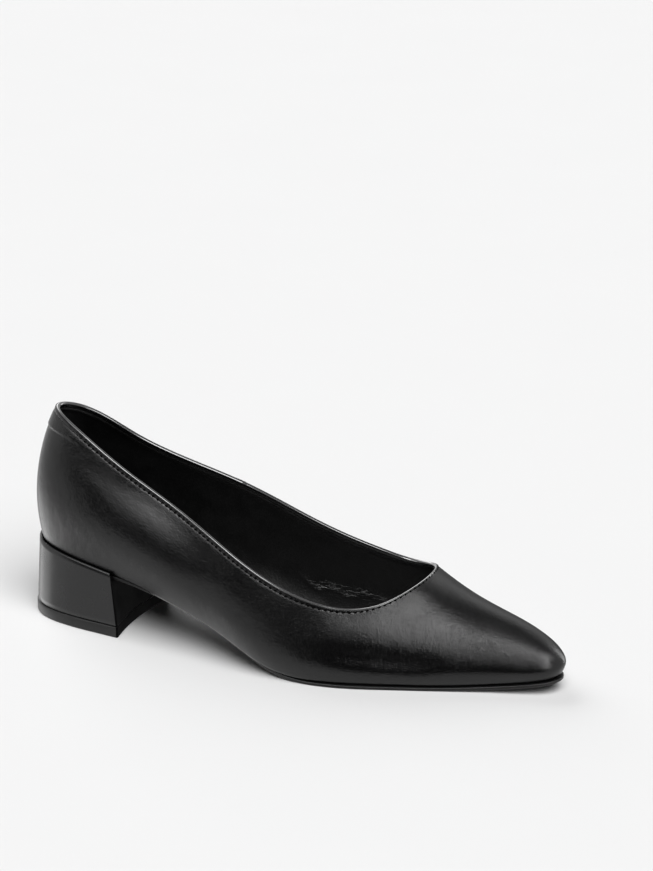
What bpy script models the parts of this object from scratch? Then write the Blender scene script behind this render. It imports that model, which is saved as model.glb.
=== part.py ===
"""Low block heel pump for the right foot: upper, topline binding, insole, outsole, heel and top piece.

Sizes are in millimetres until a mesh is made. X runs from the heel to the toe, +Y is the inner side of
the foot, -Y its outer side, and Z is up from the floor.
"""

from collections import namedtuple

import bmesh
import bpy
import numpy as np

MM = 0.001  # metres in a millimetre

# Driving dimensions of the last
LAST_LENGTH = 255.5  # feather line, heel back to toe tip
BALL_WIDTH = 70.5  # feather line, widest place of the forefoot
HEEL_SEAT = 33.9  # floor to the last's bottom at the heel's back
SEAT_FALL = 0.11  # slope of the straight heel seat, down towards the toe
SEAT_LENGTH = 47.0  # heel's back to the breast corners
TREAD_START = 0.596  # the bottom is level from here, as a share of the length
TREAD_END = 0.755  # and rises from here to the toe tip
TOE_SPRING = 5.6

# Wall of the upper
WALL = 1.5  # leather and lining together
FEATHER_RADIUS = 1.6  # turn of the upper under the insole
LASTING_MARGIN = 5.0  # flat strip of the upper under the insole
MARGIN_LOSS = 0.6  # how much of that strip is cut away at the toe tip
MARGIN_CUT = 0.9  # where that cut starts, as a share of the way to the toe
TAB_STEP = 0.45  # how far the heel tab stands out of the quarters
TAB_SHARE = 0.08  # its height at the back, as a share of the half girth
TAB_LOSS = 0.6  # how much of that height is lost on the way to its end
TAB_END = 0.15  # where it has run out, as a share of the way to the toe

# Bottom pieces
GAP = 0.3  # between neighbours
SOLE_THICKNESS = 1.5
INSOLE_THICKNESS = 2.0
INSOLE_FOOT = FEATHER_RADIUS + 2 * GAP  # its lower edge, inside the feather line
HEEL_RIM = 5.2  # how far the heel's edge rises round the outsole's seat, at the back
BREAST_RIM = 4.0  # the same at the breast
RIM_WIDTH = 0.9
RIM_OUT = 1.8  # the heel's rim, outside the feather line
FOOT_OUT_BACK = 3.6  # the heel's foot, outside the feather line at the back
FOOT_OUT_SIDE = 2.4  # the same at the breast corners
FOOT_FORWARD = 3.0  # how much further forward the breast is at the foot
TOP_PIECE = 5.2  # thickness of the top piece
TOP_PIECE_LIP = 0.35  # how far the top piece stands out of the heel's foot
TOP_PIECE_BEVEL = 0.4
SOLE_BEVEL = 0.5  # at the outsole's lower edge
BREAST_HOLLOW = 2.6  # depth of the heel breast's hollow curve
HEEL_CORNER = 1.2  # rounding where the heel's sides meet its breast
BINDING_WIDTH = 2.2
BINDING_HEIGHT = 1.2

# Sections of the last. along is a share of the last's length and lateral and medial the half widths of
# the feather line as shares of the ball's width. bulge is how far the widest place stands outside the
# feather line and bulge_up its height over it, in millimetres. spine is where the section meets the
# last's top line, a share of the length, and fullness the roundness there.
Section = namedtuple("Section", "along lateral medial bulge bulge_up spine fullness")
SECTIONS = (
    Section(0.000, 0.000, 0.000, 2.4, 23.0, 0.169, 0.72),
    Section(0.022, 0.162, 0.190, 2.9, 23.0, 0.174, 0.49),
    Section(0.067, 0.250, 0.284, 3.0, 22.0, 0.189, 0.22),
    Section(0.149, 0.314, 0.305, 3.0, 20.0, 0.224, 0.13),
    Section(0.258, 0.369, 0.280, 3.5, 18.0, 0.288, 0.24),
    Section(0.384, 0.446, 0.262, 4.1, 16.0, 0.398, 0.53),
    Section(0.509, 0.555, 0.334, 3.0, 13.0, 0.512, 0.65),
    Section(0.626, 0.537, 0.456, 1.8, 10.5, 0.626, 0.70),
    Section(0.728, 0.424, 0.502, 1.5, 9.0, 0.726, 0.69),
    Section(0.823, 0.304, 0.414, 1.5, 8.0, 0.816, 0.60),
    Section(0.904, 0.209, 0.294, 1.5, 7.0, 0.886, 0.67),
    Section(0.965, 0.144, 0.166, 1.5, 6.0, 0.930, 0.74),
    Section(0.992, 0.087, 0.068, 1.5, 6.0, 0.943, 0.80),
    Section(1.000, 0.018, -0.018, 1.6, 6.0, 0.946, 0.82),
)

# Height of the last's bottom over the floor along the arch, between the heel seat and the tread
Pitch = namedtuple("Pitch", "along height")
PITCH = (
    Pitch(0.298, 22.3),
    Pitch(0.418, 12.8),
    Pitch(0.517, 4.0),
)

# Top line of the last, from the cone over the instep down to the toe. side is its place across.
Crest = namedtuple("Crest", "along height side")
CREST = (
    Crest(0.159, 117.0, 0.0),
    Crest(0.239, 111.3, 0.0),
    Crest(0.318, 102.6, 0.0),
    Crest(0.437, 87.4, 0.3),
    Crest(0.557, 72.2, 0.8),
    Crest(0.676, 57.6, 1.2),
    Crest(0.776, 41.6, 1.6),
    Crest(0.868, 31.6, 2.0),
    Crest(0.929, 26.8, 2.0),
    Crest(0.960, 23.8, 2.0),
)

# Height of the topline over the floor on both sides, from the back to the throat
Topline = namedtuple("Topline", "along lateral medial")
TOPLINE = (
    Topline(0.000, 99.8, 99.8),
    Topline(0.067, 93.2, 91.8),
    Topline(0.149, 84.4, 83.1),
    Topline(0.258, 73.0, 75.8),
    Topline(0.384, 59.0, 67.6),
    Topline(0.509, 44.3, 54.2),
    Topline(0.626, 35.8, 42.1),
    Topline(0.706, 37.6, 39.1),
)
THROAT = 0.7565  # where the topline crosses the last's top line

# Edge of the outsole, outside the feather line
SoleEdge = namedtuple("SoleEdge", "along lateral medial")
SOLE_EDGE = (
    SoleEdge(0.000, -0.8, -0.8),
    SoleEdge(0.169, -0.8, -0.8),
    SoleEdge(0.278, -3.0, -3.0),
    SoleEdge(0.398, -4.0, -4.5),
    SoleEdge(0.517, -1.5, -3.0),
    SoleEdge(0.616, 0.3, 0.2),
    SoleEdge(0.746, 0.4, 0.4),
    SoleEdge(1.000, 0.7, 0.7),
)

# Mesh density
COLLAR_COLUMNS = 36  # each side, heel back to throat
VAMP_COLUMNS = 18  # each side, throat to toe tip
PLATE_COLUMNS = 36  # each side of the insole and outsole
HEEL_COLUMNS = 12  # each side of the heel, back to breast
BREAST_COLUMNS = 8
BINDING_SIDES = 8

# Where a section changes from the feather's turn to the wall, and at its widest place
TURN_END = 0.06
WIDEST = 0.36
STEEPEST = 0.85  # the wall rises straight for no more than this share of its upper part

# Steps of the searches and of the slopes
FINE_STEPS = 4001  # along one side of the last
TOPLINE_STEPS = 1500
HALVINGS = 40
SMALL_SHARE = 1e-4  # of the way round the last, or up its girth
SLOPE_STEP = 0.5
SPINE_START = 0.2  # from this share of a side on, the sections meet the top line further and further forward


def curve_through(knots, values, period=None, end_slopes=None):
    """A curve of continuous curvature through the values, closed if it has a period."""
    x = np.asarray(knots, float)
    y = np.asarray(values, float)
    if period:
        x = np.concatenate([x - period, x, x + period])
        y = np.tile(y, 3)
    count = len(x)
    gap = np.diff(x)
    slope = np.diff(y) / gap
    matrix = np.eye(count)
    right = np.zeros(count)
    for i in range(1, count - 1):
        matrix[i, i - 1 : i + 2] = gap[i - 1], 2 * (gap[i - 1] + gap[i]), gap[i]
        right[i] = 6 * (slope[i] - slope[i - 1])
    if end_slopes:
        matrix[0, :2] = 2 * gap[0], gap[0]
        matrix[-1, -2:] = gap[-1], 2 * gap[-1]
        right[0] = 6 * (slope[0] - end_slopes[0])
        right[-1] = 6 * (end_slopes[1] - slope[-1])
    bend = np.linalg.solve(matrix, right)

    def at(t):
        t = np.asarray(t, float)
        if period:
            t = t % period
        i = np.clip(np.searchsorted(x, t) - 1, 0, count - 2)
        after, before, g = t - x[i], x[i + 1] - t, gap[i]
        return (
            (bend[i] * before**3 + bend[i + 1] * after**3) / (6 * g)
            + (y[i] / g - bend[i] * g / 6) * before
            + (y[i + 1] / g - bend[i + 1] * g / 6) * after
        )

    return at


def column(table, name):
    return np.array([getattr(row, name) for row in table], float)


def side_shares(x, y):
    """Share of the way from heel back to toe tip at each section of one side, along its chords."""
    steps = np.hypot(np.diff(x), np.diff(y))
    return np.concatenate([[0.0], np.cumsum(steps)]) / steps.sum()


SECTION_X = column(SECTIONS, "along") * LAST_LENGTH
LATERAL_Y = -column(SECTIONS, "lateral") * BALL_WIDTH
MEDIAL_Y = column(SECTIONS, "medial") * BALL_WIDTH
LATERAL_SHARE = side_shares(SECTION_X, LATERAL_Y)
MEDIAL_SHARE = side_shares(SECTION_X, MEDIAL_Y)
# A place round the last runs from 0 at the heel's back along the outer side to 1 at the toe tip, and on
# along the inner side to 2 at the heel's back again.
ROUND = np.concatenate([LATERAL_SHARE, 2 - MEDIAL_SHARE[-2:0:-1]])


def all_round(lateral, medial):
    """A closed curve of a value that each section has on both sides."""
    return curve_through(ROUND, np.concatenate([lateral, medial[-2:0:-1]]), period=2)


def same_both_sides(name):
    values = column(SECTIONS, name)
    return all_round(values, values)


feather_x = all_round(SECTION_X, SECTION_X)
feather_y = all_round(LATERAL_Y, MEDIAL_Y)
bulge_out = same_both_sides("bulge")
bulge_up = same_both_sides("bulge_up")
spine_share = same_both_sides("spine")
fullness = same_both_sides("fullness")

crest_height = curve_through(column(CREST, "along") * LAST_LENGTH, column(CREST, "height"))
crest_side = curve_through(column(CREST, "along") * LAST_LENGTH, column(CREST, "side"))

TREAD_HEIGHT = SOLE_THICKNESS + GAP
arch_height = curve_through(
    np.concatenate([[SEAT_LENGTH], column(PITCH, "along") * LAST_LENGTH, [TREAD_START * LAST_LENGTH]]),
    np.concatenate([[HEEL_SEAT - SEAT_FALL * SEAT_LENGTH], column(PITCH, "height"), [TREAD_HEIGHT]]),
    end_slopes=(-SEAT_FALL, 0.0),
)


def bottom(x):
    """Height of the last's bottom: a straight seat, the arch, the level tread and the toe spring."""
    seat = HEEL_SEAT - SEAT_FALL * x
    arch = arch_height(np.clip(x, SEAT_LENGTH, TREAD_START * LAST_LENGTH))
    spring = np.maximum(x / LAST_LENGTH - TREAD_END, 0) / (1 - TREAD_END)
    return np.where(x < SEAT_LENGTH, seat, arch + TOE_SPRING * spring**2)


def inward(place):
    """Feather point, unit direction from it to the spine in plan, and the distance to the spine."""
    x, y = feather_x(place), feather_y(place)
    spine_x = spine_share(place) * LAST_LENGTH
    dx, dy = spine_x - x, crest_side(spine_x) - y
    reach = np.hypot(dx, dy)
    return x, y, dx / reach, dy / reach, reach, spine_x


def bezier(points, t):
    """A Bezier curve of any degree, by repeated halving between its control points."""
    points = list(points)
    while len(points) > 1:
        points = [a + (b - a) * t for a, b in zip(points, points[1:])]
    return points[0]


def last_point(place, girth):
    """Point of the last's skin. girth runs from 0 under the feather edge to 1 on the last's top line."""
    place, girth = np.broadcast_arrays(np.asarray(place, float), np.asarray(girth, float))
    x, y, ex, ey, reach, spine_x = inward(place)
    base = bottom(x)
    out, up = bulge_out(place), bulge_up(place)
    rise = crest_height(spine_x) - base
    # The feather's turn is an arc that ends leaning out as the wall above it starts.
    lean = np.arctan2(2 * out, up)
    angle = -np.pi / 2 + (np.pi / 2 - lean) * girth / TURN_END
    turn_out = FEATHER_RADIUS * (np.cos(angle) - 1)
    turn_up = FEATHER_RADIUS * (np.sin(angle) + 1)
    # From there the wall curves up to its widest place.
    wall_out = FEATHER_RADIUS * (np.cos(lean) - 1)
    wall_up = FEATHER_RADIUS * (1 - np.sin(lean))
    middle_up = wall_up + (out - wall_out) / np.tan(lean)
    t = (girth - TURN_END) / (WIDEST - TURN_END)
    low_out = bezier([wall_out, out, out], t)
    low_up = bezier([wall_up, middle_up, up], t)
    # Above it the wall bends in to the top line with the same curvature.
    curvature = (out - wall_out) / (2 * (up - middle_up) ** 2)
    pull = fullness(place) * (out + reach)
    start = np.minimum(np.sqrt(2 / 3 * (out + reach - pull) / curvature), STEEPEST * (rise - up))
    crest_step = crest_height(spine_x + SLOPE_STEP) - crest_height(spine_x - SLOPE_STEP)
    crest_slope = crest_step / (2 * SLOPE_STEP)
    t = (girth - WIDEST) / (1 - WIDEST)
    high_out = bezier([out, out, pull - reach, -reach], t)
    high_up = bezier([up, up + start, rise - ex * crest_slope * pull, rise], t)
    outward = np.where(girth < TURN_END, turn_out, np.where(girth < WIDEST, low_out, high_out))
    height = np.where(girth < TURN_END, turn_up, np.where(girth < WIDEST, low_up, high_up))
    return np.stack([x - ex * outward, y - ey * outward, base + height], axis=-1)


def last_normal(place, girth):
    """Unit normal of the last's skin, pointing out."""
    d = SMALL_SHARE
    along = last_point(place + d, girth) - last_point(place - d, girth)
    around = last_point(place, girth + d) - last_point(place, girth - d)
    normal = np.cross(along, around)
    return normal / np.linalg.norm(normal, axis=-1, keepdims=True)


def place_at(side, x):
    """Place on one side where the feather line has reached x."""
    shares = np.linspace(0, 1, FINE_STEPS)
    return np.interp(x, feather_x(shares if side == "lateral" else 2 - shares), shares)


def spine_place(side, spine_x):
    """Share of the way along one side whose section meets the top line at spine_x."""
    shares = np.linspace(SPINE_START, 1, FINE_STEPS)
    along = spine_share(shares if side == "lateral" else 2 - shares)
    return np.interp(spine_x, along * LAST_LENGTH, shares)


THROAT_X = THROAT * LAST_LENGTH
THROAT_SHARE = {side: float(spine_place(side, THROAT_X)) for side in ("lateral", "medial")}


def topline_curve():
    """Topline height against the share of the way along, with the inner side as negative shares."""
    along = column(TOPLINE, "along") * LAST_LENGTH
    lateral = np.append(place_at("lateral", along), THROAT_SHARE["lateral"])
    medial = np.append(place_at("medial", along), THROAT_SHARE["medial"])
    throat_height = crest_height(THROAT_X)
    lateral_height = np.append(column(TOPLINE, "lateral"), throat_height)
    medial_height = np.append(column(TOPLINE, "medial"), throat_height)
    return curve_through(
        np.concatenate([-medial[:0:-1], lateral]),
        np.concatenate([medial_height[:0:-1], lateral_height]),
    )


topline_height = topline_curve()


def girth_at_height(place, height):
    """Girth where the skin reaches a height, by halving."""
    low = np.full(np.shape(place), WIDEST)
    high = np.ones(np.shape(place))
    for _ in range(HALVINGS):
        middle = (low + high) / 2
        below = last_point(place, middle)[..., 2] < height
        low = np.where(below, middle, low)
        high = np.where(below, high, middle)
    return (low + high) / 2


def evenly(points, count):
    """Positions in the list of points that cut its length into count equal parts."""
    steps = np.linalg.norm(np.diff(points, axis=0), axis=1)
    length = np.concatenate([[0.0], np.cumsum(steps)])
    return np.interp(np.linspace(0, length[-1], count + 1), length, np.arange(len(points)))


def top_edge(side, collar_columns, vamp_columns):
    """Places and girths along one side's upper boundary: the topline, then the vamp's top line."""
    throat = THROAT_SHARE[side]
    fine = np.linspace(0, 1, TOPLINE_STEPS)
    shares = throat * (1 - (1 - fine) ** 2)
    place = shares if side == "lateral" else 2 - shares
    girth = girth_at_height(place, topline_height(shares if side == "lateral" else -shares))
    girth[-1] = 1.0
    where = evenly(last_point(place, girth), collar_columns)
    collar_share = np.interp(where, np.arange(len(fine)), shares)
    collar_girth = np.interp(where, np.arange(len(fine)), girth)
    toe_x = spine_share(1.0) * LAST_LENGTH
    vamp_x = THROAT_X + (toe_x - THROAT_X) * np.linspace(0, 1, vamp_columns + 1)[1:]
    vamp_share = spine_place(side, vamp_x)
    vamp_share[-1] = 1.0
    share = np.concatenate([collar_share, vamp_share])
    girth = np.concatenate([collar_girth, np.ones(vamp_columns)])
    return share, girth


def bottom_shares(side, collar_columns, vamp_columns):
    """Shares along the feather line of the same columns, evenly spread."""
    throat = THROAT_SHARE[side]
    collar = np.linspace(0, throat, collar_columns + 1)
    return np.concatenate([collar, np.linspace(throat, 1, vamp_columns + 1)[1:]])


def smooth_step(t):
    t = np.clip(t, 0, 1)
    return t * t * (3 - 2 * t)


# Rows of the upper's mesh
TURN_ROWS = (0.0, 0.5, 1.0)  # of the feather's turn
LOW_ROWS = (0.33, 0.67, 1.0)  # from the turn to the widest place
HIGH_ROWS = (0.17, 0.34, 0.51, 0.68, 0.85, 0.99)  # from there to the tab's edge
TAB_ROWS = (0.5, 1.0)  # from the tab's edge to the topline
TAB_SHIFT = 0.9  # how far a column has come from its foot to its top place at the tab's edge


def wall_rows(side, collar_columns, vamp_columns):
    """Outer and inner points of one side of the upper, as columns of rows from the margin up."""
    top_share, top_girth = top_edge(side, collar_columns, vamp_columns)
    low_share = bottom_shares(side, collar_columns, vamp_columns)
    tab_girth = top_girth - TAB_SHARE * (1 - TAB_LOSS * smooth_step(top_share / TAB_END))
    lean = top_share - low_share
    rows = []
    for part in TURN_ROWS:
        rows.append((low_share, np.full_like(low_share, TURN_END * part), False))
    for part in LOW_ROWS:
        girth = TURN_END + (WIDEST - TURN_END) * part
        rows.append((low_share, np.full_like(low_share, girth), False))
    for part in HIGH_ROWS:
        share = low_share + lean * (part * TAB_SHIFT) ** 2
        rows.append((share, WIDEST + (tab_girth - WIDEST) * part, False))
    rows.append((low_share + lean * TAB_SHIFT**2, tab_girth, True))
    for part in TAB_ROWS:
        share = low_share + lean * (TAB_SHIFT + (1 - TAB_SHIFT) * part) ** 2
        rows.append((share, tab_girth + (top_girth - tab_girth) * part, True))
    outer, inner = [margin_row(side, low_share, 0)], [margin_row(side, low_share, WALL)]
    for share, girth, on_tab in rows:
        place = share if side == "lateral" else 2 - share
        skin = last_point(place, girth)
        normal = last_normal(place, girth)
        step = TAB_STEP * (1 - smooth_step(top_share / TAB_END)) if on_tab else np.zeros_like(share)
        outer.append(skin + normal * step[:, None])
        inner.append(skin - normal * WALL)
    return np.stack(outer, axis=1), np.stack(inner, axis=1)


def margin_row(side, share, lift):
    """Free edge of the lasting margin, lift above the last's bottom."""
    place = share if side == "lateral" else 2 - share
    x, y, ex, ey, _, _ = inward(place)
    cut = MARGIN_LOSS * smooth_step((share - MARGIN_CUT) / (1 - MARGIN_CUT))
    depth = FEATHER_RADIUS + LASTING_MARGIN * (1 - cut)
    x, y = x + ex * depth, y + ey * depth
    return np.stack([x, y, bottom(x) + lift], axis=-1)


def upper_mesh():
    """The upper: a wall open at the collar and underneath, closed over the vamp."""
    mesh = bmesh.new()
    counts = (COLLAR_COLUMNS, VAMP_COLUMNS)
    for side in ("lateral", "medial"):
        outer, inner = wall_rows(side, *counts)
        skins = [grid_vertices(mesh, skin) for skin in (outer, inner)]
        flip = side == "medial"
        add_grid(mesh, skins[0], flip)
        add_grid(mesh, skins[1], not flip)
        bridge(mesh, [c[0] for c in skins[0]], [c[0] for c in skins[1]], flip)
        collar = slice(0, COLLAR_COLUMNS + 1)
        bridge(mesh, [c[-1] for c in skins[1][collar]], [c[-1] for c in skins[0][collar]], flip)
    return mesh


def grid_vertices(mesh, points):
    return [[mesh.verts.new(p * MM) for p in line] for line in points]


def add_grid(mesh, lines, flip):
    for a, b in zip(lines, lines[1:]):
        bridge(mesh, a, b, not flip)


def bridge(mesh, first, second, flip):
    """Faces between two lines of vertices."""
    for a, b, c, d in zip(first, first[1:], second[1:], second):
        corners = [a, b, c, d] if flip else [d, c, b, a]
        mesh.faces.new(corners)


def outline(side, count):
    """Places along one side of the feather line, closer together at the heel's back and the toe tip."""
    shares = (1 - np.cos(np.linspace(0, np.pi, count + 1))) / 2
    return shares if side == "lateral" else 2 - shares


def loop_places(count):
    """Places once round the feather line, from the heel's back over the toe tip."""
    return np.concatenate([outline("lateral", count), outline("medial", count)[-2:0:-1]])


def moved_out(place, distance):
    """Feather points moved out of the outline in plan."""
    d = SMALL_SHARE
    tx = feather_x(place + d) - feather_x(place - d)
    ty = feather_y(place + d) - feather_y(place - d)
    length = np.hypot(tx, ty)
    return feather_x(place) + ty / length * distance, feather_y(place) - tx / length * distance


def ring(x, y, z):
    return np.stack([x, y, np.broadcast_to(z, np.shape(x))], axis=-1)


def stack(mesh, rings):
    """Closed rings joined one above the other, from the lowest up. Returns their vertices."""
    lines = [[mesh.verts.new(p * MM) for p in points] for points in rings]
    for low, high in zip(lines, lines[1:]):
        bridge(mesh, low + low[:1], high + high[:1], True)
    return lines


def strip_cap(mesh, line, facing_up):
    """Closes a long ring with faces from side to side."""
    count = len(line)
    for i in range(count // 2):
        corners = [line[i], line[i + 1], line[count - i - 1], line[(count - i) % count]]
        corners = list(dict.fromkeys(corners))
        mesh.faces.new(corners if facing_up else corners[::-1])


def insole_mesh():
    """The insole, inside the upper and on its lasting margin."""
    place = loop_places(PLATE_COLUMNS)
    x, y, ex, ey, _, _ = inward(place)
    rings = []
    for edge, lift in ((INSOLE_FOOT, 0.0), (WALL + 2 * GAP, INSOLE_THICKNESS)):
        ring_x, ring_y = x + ex * edge, y + ey * edge
        rings.append(ring(ring_x, ring_y, bottom(ring_x) + WALL + GAP + lift))
    mesh = bmesh.new()
    lines = stack(mesh, rings)
    strip_cap(mesh, lines[0], False)
    strip_cap(mesh, lines[1], True)
    return mesh


def sole_edge(place):
    """Outline of the outsole in plan."""
    along = column(SOLE_EDGE, "along") * LAST_LENGTH
    lateral = curve_through(along, column(SOLE_EDGE, "lateral"))
    medial = curve_through(along, column(SOLE_EDGE, "medial"))
    x = feather_x(place)
    return np.where(place <= 1, lateral(x), medial(x))


def outsole_mesh():
    """The outsole, from the toe over the arch to the heel seat, flat under the ball."""
    place = loop_places(PLATE_COLUMNS)
    edge = sole_edge(place)
    x, y = moved_out(place, edge)
    inner_x, inner_y = moved_out(place, edge - SOLE_BEVEL)
    top = bottom(x) - GAP
    low = top - SOLE_THICKNESS
    inner_low = bottom(inner_x) - GAP - SOLE_THICKNESS
    mesh = bmesh.new()
    rings = [ring(inner_x, inner_y, inner_low), ring(x, y, low + SOLE_BEVEL), ring(x, y, top)]
    lines = stack(mesh, rings)
    strip_cap(mesh, lines[0], False)
    strip_cap(mesh, lines[-1], True)
    return mesh


def heel_loop(out_back, out_side, forward, inset=0.0):
    """Plan of the heel: round the back from one breast corner to the other, and along the hollow breast."""
    breast_x = SEAT_LENGTH + forward - inset
    sides = []
    for side in ("lateral", "medial"):
        corner = float(place_at(side, breast_x))
        shares = np.linspace(0, corner, HEEL_COLUMNS + 1)
        place = shares if side == "lateral" else 2 - shares
        out = out_back + (out_side - out_back) * smooth_step(shares / corner) - inset
        x, y = moved_out(place, out)
        sides.append(np.stack([x, y], axis=-1))
    lateral, medial = sides
    across = np.linspace(0, 1, BREAST_COLUMNS + 1)[:, None]
    breast = lateral[-1] + (medial[-1] - lateral[-1]) * across
    breast[:, 0] -= BREAST_HOLLOW * (1 - (2 * across[:, 0] - 1) ** 2)
    loop = np.concatenate([lateral[:-1], breast, medial[-2:0:-1]])
    return round_corners(loop, (HEEL_COLUMNS, HEEL_COLUMNS + BREAST_COLUMNS), HEEL_CORNER)


def round_corners(loop, corners, radius):
    """The loop with each corner replaced by the start, middle and end of a curve."""
    points = []
    for i, point in enumerate(loop):
        if i not in corners:
            points.append(point)
            continue
        before, after = loop[i - 1] - point, loop[(i + 1) % len(loop)] - point
        start = point + before / np.linalg.norm(before) * radius
        end = point + after / np.linalg.norm(after) * radius
        points += [bezier([start, point, end], t) for t in (0.0, 0.5, 1.0)]
    return np.array(points)


def seat_height(x):
    """Underside of the outsole at the heel seat, less the gap."""
    return HEEL_SEAT - SEAT_FALL * x - 2 * GAP - SOLE_THICKNESS


def heel_mesh():
    """The heel block: hollow breast, flared foot, and a rim round the seat of the outsole."""
    foot = heel_loop(FOOT_OUT_BACK, FOOT_OUT_SIDE, FOOT_FORWARD)
    rim = heel_loop(RIM_OUT, RIM_OUT, 0.0)
    rim_inner = heel_loop(RIM_OUT, RIM_OUT, 0.0, inset=RIM_WIDTH)
    lift = HEEL_RIM + (BREAST_RIM - HEEL_RIM) * rim[:, 0] / SEAT_LENGTH
    lift[HEEL_COLUMNS + 1 : HEEL_COLUMNS + BREAST_COLUMNS + 4] = 0  # none along the breast
    mesh = bmesh.new()
    rings = [
        ring(foot[:, 0], foot[:, 1], TOP_PIECE + GAP),
        ring(rim[:, 0], rim[:, 1], seat_height(rim[:, 0]) + lift),
        ring(rim_inner[:, 0], rim_inner[:, 1], seat_height(rim_inner[:, 0]) + lift),
        ring(rim_inner[:, 0], rim_inner[:, 1], seat_height(rim_inner[:, 0])),
    ]
    lines = stack(mesh, rings)
    mesh.faces.new(lines[0][::-1])
    mesh.faces.new(lines[-1])
    return mesh


def top_piece_mesh():
    """The top piece: the wearing plate under the heel."""
    outs = (FOOT_OUT_BACK + TOP_PIECE_LIP, FOOT_OUT_SIDE + TOP_PIECE_LIP, FOOT_FORWARD + TOP_PIECE_LIP)
    edge = heel_loop(*outs)
    tread = heel_loop(*outs, inset=TOP_PIECE_BEVEL)
    mesh = bmesh.new()
    rings = [
        ring(tread[:, 0], tread[:, 1], 0.0),
        ring(edge[:, 0], edge[:, 1], TOP_PIECE_BEVEL),
        ring(edge[:, 0], edge[:, 1], TOP_PIECE),
    ]
    lines = stack(mesh, rings)
    mesh.faces.new(lines[0][::-1])
    mesh.faces.new(lines[-1])
    return mesh


def binding_mesh():
    """The binding: a bead along the topline, on the upper's cut edge."""
    rings = []
    for side in ("lateral", "medial"):
        share, girth = top_edge(side, COLLAR_COLUMNS, VAMP_COLUMNS)
        share, girth = share[: COLLAR_COLUMNS + 1], girth[: COLLAR_COLUMNS + 1]
        place = share if side == "lateral" else 2 - share
        edge = last_point(place, girth)
        normal = last_normal(place, girth)
        line = edge if side == "lateral" else edge[::-1]
        along = np.gradient(line, axis=0)
        along /= np.linalg.norm(along, axis=1, keepdims=True)
        normal = normal if side == "lateral" else normal[::-1]
        rise = np.cross(normal, along)
        rise /= np.linalg.norm(rise, axis=1, keepdims=True)
        middle = line - normal * WALL / 2 + rise * (GAP + BINDING_HEIGHT / 2)
        turns = np.linspace(0, 2 * np.pi, BINDING_SIDES, endpoint=False)
        across = normal[:, None] * np.cos(turns)[None, :, None] * BINDING_WIDTH / 2
        upward = rise[:, None] * np.sin(turns)[None, :, None] * BINDING_HEIGHT / 2
        part = middle[:, None] + across + upward
        rings.append(part if side == "lateral" else part[1:-1])
    rings = np.concatenate(rings)
    mesh = bmesh.new()
    lines = stack(mesh, rings)
    bridge(mesh, lines[-1] + lines[-1][:1], lines[0] + lines[0][:1], True)
    return mesh


# Finishes: linear base colour, roughness, metallic
FINISHES = {
    "black_leather": ((0.012, 0.012, 0.013), 0.34, 0.0),
    "black_lining": ((0.010, 0.010, 0.010), 0.55, 0.0),
    "black_heel": ((0.014, 0.014, 0.015), 0.28, 0.0),
    "black_rubber": ((0.020, 0.020, 0.020), 0.60, 0.0),
    "black_sole": ((0.015, 0.015, 0.015), 0.45, 0.0),
}


def finish(name):
    colour, roughness, metallic = FINISHES[name]
    material = bpy.data.materials.new(name)
    material.use_nodes = True
    shader = material.node_tree.nodes["Principled BSDF"]
    shader.inputs["Base Color"].default_value = (*colour, 1.0)
    shader.inputs["Roughness"].default_value = roughness
    shader.inputs["Metallic"].default_value = metallic
    return material


WELD = 1e-5  # metres
SMOOTH_ANGLE = 0.7  # radians, sharper edges stay sharp


def make(name, mesh, material, parent):
    """One named object from a bmesh, shaded smooth, under the shoe's empty."""
    bmesh.ops.remove_doubles(mesh, verts=mesh.verts, dist=WELD)
    bmesh.ops.recalc_face_normals(mesh, faces=mesh.faces)
    data = bpy.data.meshes.new(name)
    mesh.to_mesh(data)
    mesh.free()
    data.shade_smooth()
    data.set_sharp_from_angle(angle=SMOOTH_ANGLE)
    data.materials.append(material)
    made = bpy.data.objects.new(name, data)
    made.parent = parent
    bpy.context.scene.collection.objects.link(made)
    return made


def main():
    for old in list(bpy.data.objects):
        bpy.data.objects.remove(old)
    shoe = bpy.data.objects.new("shoe", None)
    bpy.context.scene.collection.objects.link(shoe)
    materials = {name: finish(name) for name in FINISHES}
    pieces = (
        ("upper", upper_mesh(), "black_leather"),
        ("topline_binding", binding_mesh(), "black_leather"),
        ("insole", insole_mesh(), "black_lining"),
        ("outsole", outsole_mesh(), "black_sole"),
        ("heel", heel_mesh(), "black_heel"),
        ("top_piece", top_piece_mesh(), "black_rubber"),
    )
    made = [make(name, mesh, materials[material], shoe) for name, mesh, material in pieces]
    # The origin is on the floor under the middle of the whole shoe.
    corners = np.array([v.co for piece in made for v in piece.data.vertices])
    middle = (corners.min(0) + corners.max(0)) / 2
    shoe.location = (-middle[0], -middle[1], 0.0)


if __name__ == "__main__":
    main()
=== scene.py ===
"""Looks of the low block heel pump for the right foot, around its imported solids.

Shapes are worked out in millimetres on the solids' last. X runs from the heel to the toe, +Y is the inner
side of the foot, and Z is up from the floor. Each mesh is then set into the row frame, in metres.
"""

from collections import namedtuple

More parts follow.
